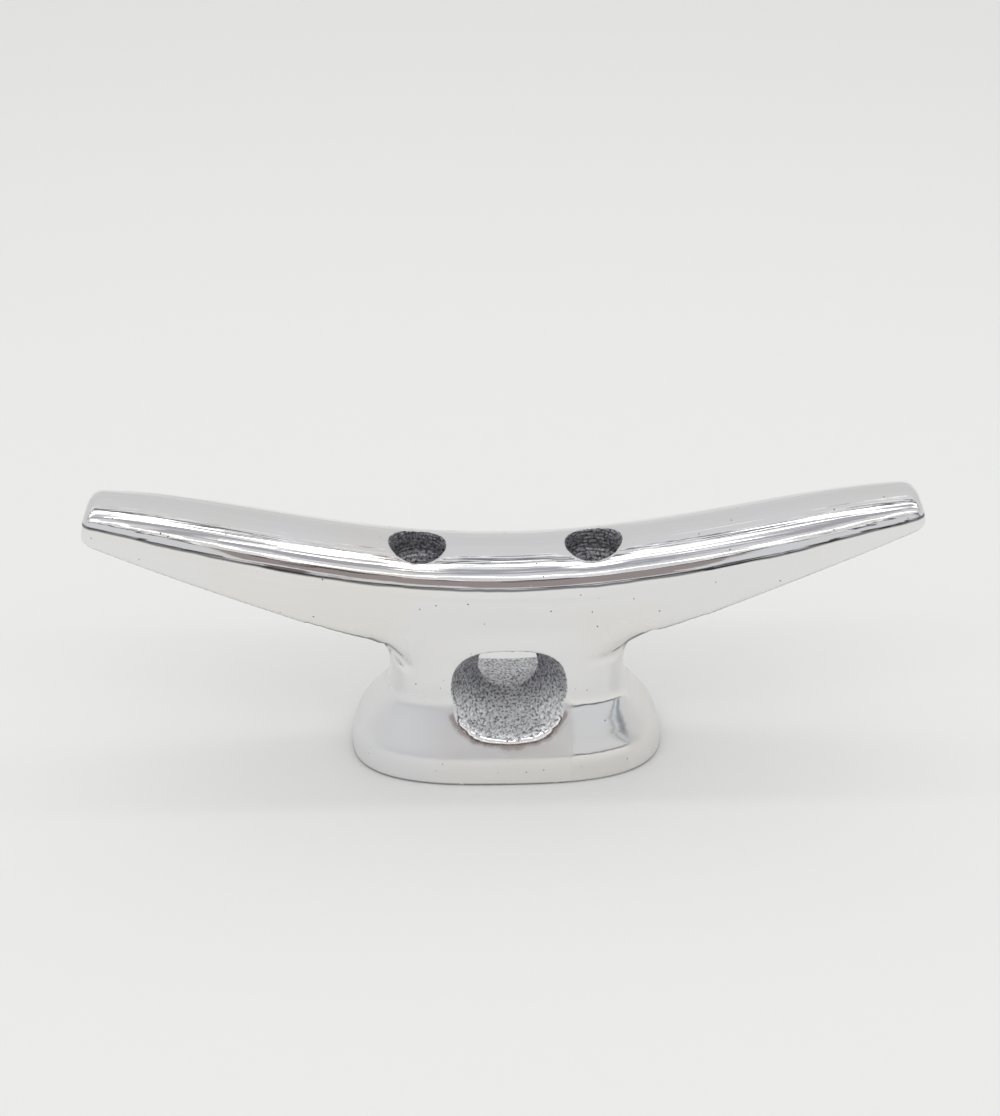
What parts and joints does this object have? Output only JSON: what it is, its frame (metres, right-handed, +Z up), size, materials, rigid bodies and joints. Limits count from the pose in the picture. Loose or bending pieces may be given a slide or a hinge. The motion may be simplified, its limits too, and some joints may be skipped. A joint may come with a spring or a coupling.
{
  "type": "horn cleat",
  "caption": "Polished aluminium horn cleat with two rising horns, a rope eye through the pedestal and bolt holes down to a flat foot.",
  "frame": {"origin": "centre of the foot's flat underside, on the deck", "axes": "+X along the horns, +Y across the cleat through the rope eye, +Z up from the deck"},
  "size_m": [0.152, 0.0304, 0.057],
  "materials": {
    "polished_aluminium": "hand polished casting, left rough as cast inside the rope eye and the bolt holes"
  },
  "bodies": {
    "root": {"cleat_casting": "polished_aluminium"}
  },
  "joints": []
}
